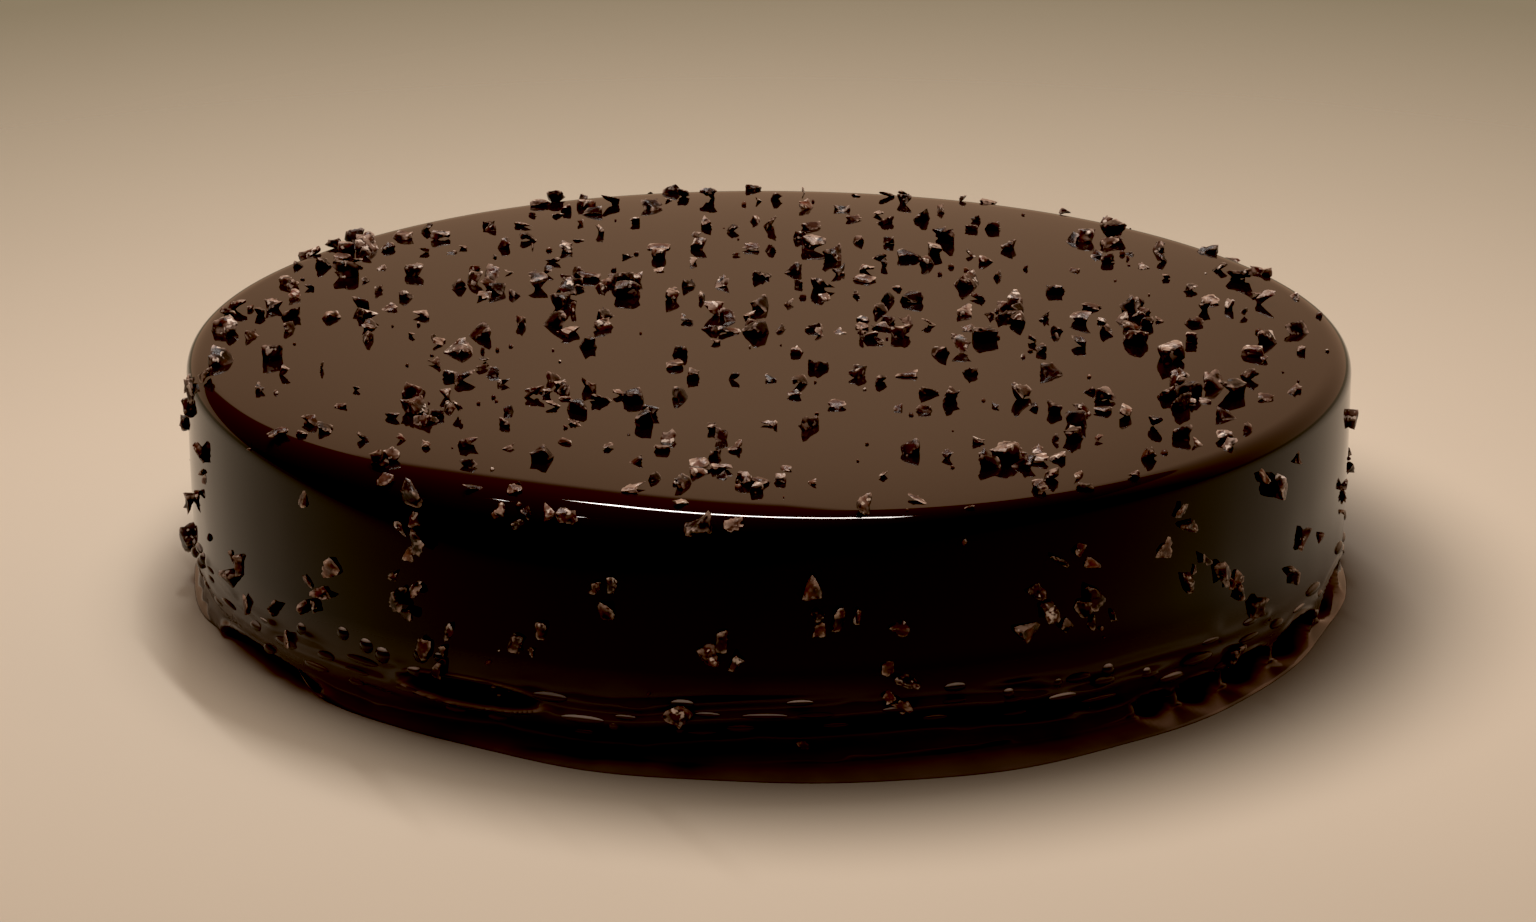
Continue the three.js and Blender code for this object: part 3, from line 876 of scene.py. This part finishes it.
def nib_material(kind):
    material, graph, shader = new_material("cacao_" + kind)
    dark, red, dust_and_top_light, wear_and_highlight = NIB_COLOURS[kind]
    tone, ridge, up = graph.attribute("tone"), graph.attribute("ridge"), graph.facing_up()
    colour = graph.layer(dark, red, graph.patches(*RED_PATCHES), tone)
    # Dust and painted top light on the faces that look up.
    level, toned = graph.ramp(up, *DUST_AND_TOP_LIGHT_SLOPES), graph.ramp(tone, *DUST_AND_TOP_LIGHT_TONES)
    colour = graph.layer(colour, dust_and_top_light, graph.patches(*DUST_AND_TOP_LIGHT_PATCHES), level, toned)
    # Wear and painted highlight along the ridges.
    colour = graph.layer(colour, wear_and_highlight, graph.patches(*WEAR_AND_HIGHLIGHT_PATCHES), ridge)
    # Painted highlights as pale spots.
    level, toned = graph.ramp(up, *NIB_HIGHLIGHT_SLOPES), graph.ramp(tone, *NIB_HIGHLIGHT_TONES)
    colour = graph.layer(colour, NIB_HIGHLIGHT_COLOUR, graph.patches(*NIB_HIGHLIGHT_PATCHES), level, toned)
    graph.put(colour, shader.inputs["Base Color"])
    shader.inputs["Roughness"].default_value = NIB_ROUGHNESS
    shader.inputs["IOR"].default_value = NIB_IOR
    bump = graph.add("ShaderNodeBump")
    bump.inputs["Strength"].default_value = GRAIN_STRENGTH
    bump.inputs["Distance"].default_value = GRAIN_DEPTH
    graph.put(graph.noise(GRAIN_SCALE, GRAIN_DETAIL), bump.inputs["Height"])
    graph.put(bump.outputs["Normal"], shader.inputs["Normal"])
    return material


def floor_material():
    """Pale, with a painted shadow beside the cake, and fading into the backdrop towards its rim."""
    material, graph, shader = new_material("pale_floor")
    place = graph.place()
    colour = graph.layer(dimmer(FLOOR_COLOUR, FLOOR_MOTTLED), FLOOR_COLOUR, graph.noise(FLOOR_NOISE))
    beside = graph.vector_math("DISTANCE", place, FLOOR_SHADE_MIDDLE)
    lit = graph.ramp(beside, *FLOOR_SHADE_REACH, "SMOOTHSTEP")
    # Painted shadow beside the cake.
    colour = graph.layer(dimmer(FLOOR_COLOUR, FLOOR_SHADE), colour, lit)
    graph.put(colour, shader.inputs["Base Color"])
    distance = graph.vector_math("LENGTH", place)
    graph.put(graph.ramp(distance, FLOOR_REACH, FLOOR_FADES), shader.inputs["Alpha"])
    shader.inputs["Roughness"].default_value = FLOOR_ROUGHNESS
    return material


# ---- Stage, light and camera ----


def make_floor():
    """A pale floor that has no edge and no dark distance."""
    disc = bmesh.new()
    bmesh.ops.create_circle(disc, cap_ends=True, segments=FLOOR_SIDES, radius=FLOOR_REACH)
    mesh = bpy.data.meshes.new("floor")
    disc.to_mesh(mesh)
    disc.free()
    mesh.materials.append(floor_material())
    floor = bpy.data.objects.new("floor", mesh)
    bpy.context.scene.collection.objects.link(floor)


def area_light(name, place, size, power, colour, glossy=True, turned_by=0.0):
    """A light that looks at the cake. Its length lies along X, turned about the vertical."""
    data = bpy.data.lights.new(name, "AREA")
    data.shape = "RECTANGLE"
    data.size, data.size_y = size
    data.energy = power
    data.color = colour
    light = bpy.data.objects.new(name, data)
    light.location = place
    down = (Vector(place) - Vector((0, 0, HEIGHT * MM))).normalized()
    along = Vector((math.cos(turned_by), math.sin(turned_by), 0))
    along = (along - down * along.dot(down)).normalized()
    light.rotation_mode = "QUATERNION"
    light.rotation_quaternion = Matrix((along, down.cross(along), down)).transposed().to_quaternion()
    light.visible_glossy = glossy
    bpy.context.scene.collection.objects.link(light)


def make_lights():
    area_light("tube", TUBE_PLACE, TUBE_SIZE, TUBE_POWER, TUBE_COLOUR, turned_by=TUBE_TURNED)
    area_light("softbox", SOFTBOX_PLACE, SOFTBOX_SIZE, SOFTBOX_POWER, SOFTBOX_COLOUR, glossy=False)
    for name, place in GLINT_PLACES.items():
        area_light(name, place, GLINT_SIZE, GLINT_POWER, GLINT_COLOUR)


def make_world():
    """A warm room: a lighter wall behind, darker in front and overhead, the floor's colour below."""
    world = bpy.data.worlds.new("room")
    bpy.context.scene.world = world
    world.use_nodes = True
    graph = Graph(world.node_tree)
    place = graph.place("Generated")
    sideways, behind, up = graph.parts(place)
    aside = graph.math("ABSOLUTE", sideways)
    lit = graph.layer(ROOM_WALL, dimmer(ROOM_WALL, WALL_DIMMED), graph.ramp(aside, *WALL_DIMS))
    colour = graph.layer(ROOM_FRONT, lit, graph.ramp(behind, *WALL_BEHIND))
    sloping = graph.vector_math("DOT_PRODUCT", place, WALL_END)
    bent = graph.math("MULTIPLY_ADD", aside, WALL_END_BEND, sloping)
    colour = graph.layer(colour, ROOM_CEILING, graph.ramp(bent, -WALL_END_BLUR, WALL_END_BLUR))
    colour = graph.layer(colour, ROOM_GROUND, graph.ramp(up, *GROUND_BELOW))
    graph.put(colour, graph.nodes["Background"].inputs["Color"])


def make_camera():
    data = bpy.data.cameras.new("camera")
    data.lens = CAMERA_LENS
    data.sensor_width = SENSOR
    data.clip_end = CLIP_END
    camera = bpy.data.objects.new("camera", data)
    down = CAMERA_ELEVATION
    camera.location = (0, -CAMERA_DISTANCE * math.cos(down), CAMERA_DISTANCE * math.sin(down))
    camera.rotation_euler = (math.pi / 2 - down + CAMERA_AIM_ABOVE, 0, 0)
    bpy.context.scene.collection.objects.link(camera)
    bpy.context.scene.camera = camera


def set_tones():
    view = bpy.context.scene.view_settings
    view.view_transform = "Standard"
    view.look = "None"
    view.use_curve_mapping = True
    view.curve_mapping.black_level = (BLACK_LEVEL, BLACK_LEVEL, BLACK_LEVEL)
    view.curve_mapping.update()


# ---- Making everything ----

make_camera()
make_world()
make_lights()
make_floor()
set_tones()

vertices, faces, rims = glaze_mesh()
mirror_glaze = glaze_material("mirror_glaze", GLAZE_ROUGHNESS, RIM_PAINTED_HIGHLIGHT, RIM_HIGHLIGHT_SLOPES)
glaze = piece_from("glaze", vertices, faces, mirror_glaze)
# The rim attribute sets where the glaze gets its painted highlight and its painted shade.
give_attribute(glaze, "rim", rims)
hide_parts("entremet")
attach(glaze, "root")

vertices, faces, painted_glints = roll_mesh()
set_glaze = glaze_material("set_glaze", ROLL_ROUGHNESS, CREST_PAINTED_HIGHLIGHT, CREST_HIGHLIGHT_SLOPES)
rolls = piece_from("glaze_rolls", vertices, faces, set_glaze)
# On the rolls the rim attribute holds their painted highlight.
give_attribute(rolls, "rim", painted_glints)
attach(rolls, "root")

for nibs in (crumb_piece(nib_material("flake")), *nib_pieces(nib_material)):
    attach(nibs, "root")
